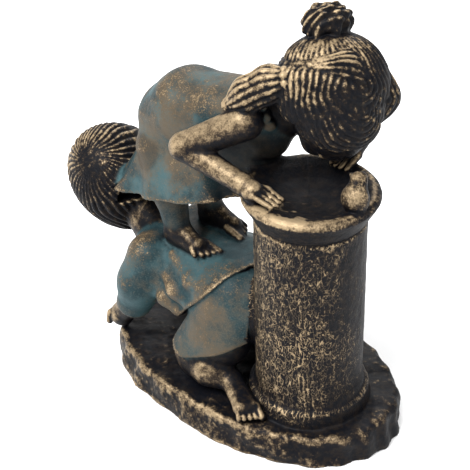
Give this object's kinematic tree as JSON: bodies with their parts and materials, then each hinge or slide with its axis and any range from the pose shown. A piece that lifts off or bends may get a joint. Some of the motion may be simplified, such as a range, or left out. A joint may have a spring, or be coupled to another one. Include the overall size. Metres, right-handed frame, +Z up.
{
  "type": "children garden statue",
  "caption": "Cast resin garden statue: a girl stands on the back of a kneeling child and leans over a round drinking fountain, all on an oval rock base.",
  "frame": {"origin": "centre of the base's flat underside", "axes": "+Z up; +X from the kneeling child's head to the drinking fountain; +Y to the statue's far side, away from the side the picture shows"},
  "size_m": [0.1686, 0.0841, 0.1782],
  "materials": {
    "bronzed_resin": "cast resin with a near-black coat, bronze rubbed on the raised parts and blue-green verdigris on the clothes"
  },
  "bodies": {
    "root": {"children_statue": "bronzed_resin"}
  },
  "joints": []
}
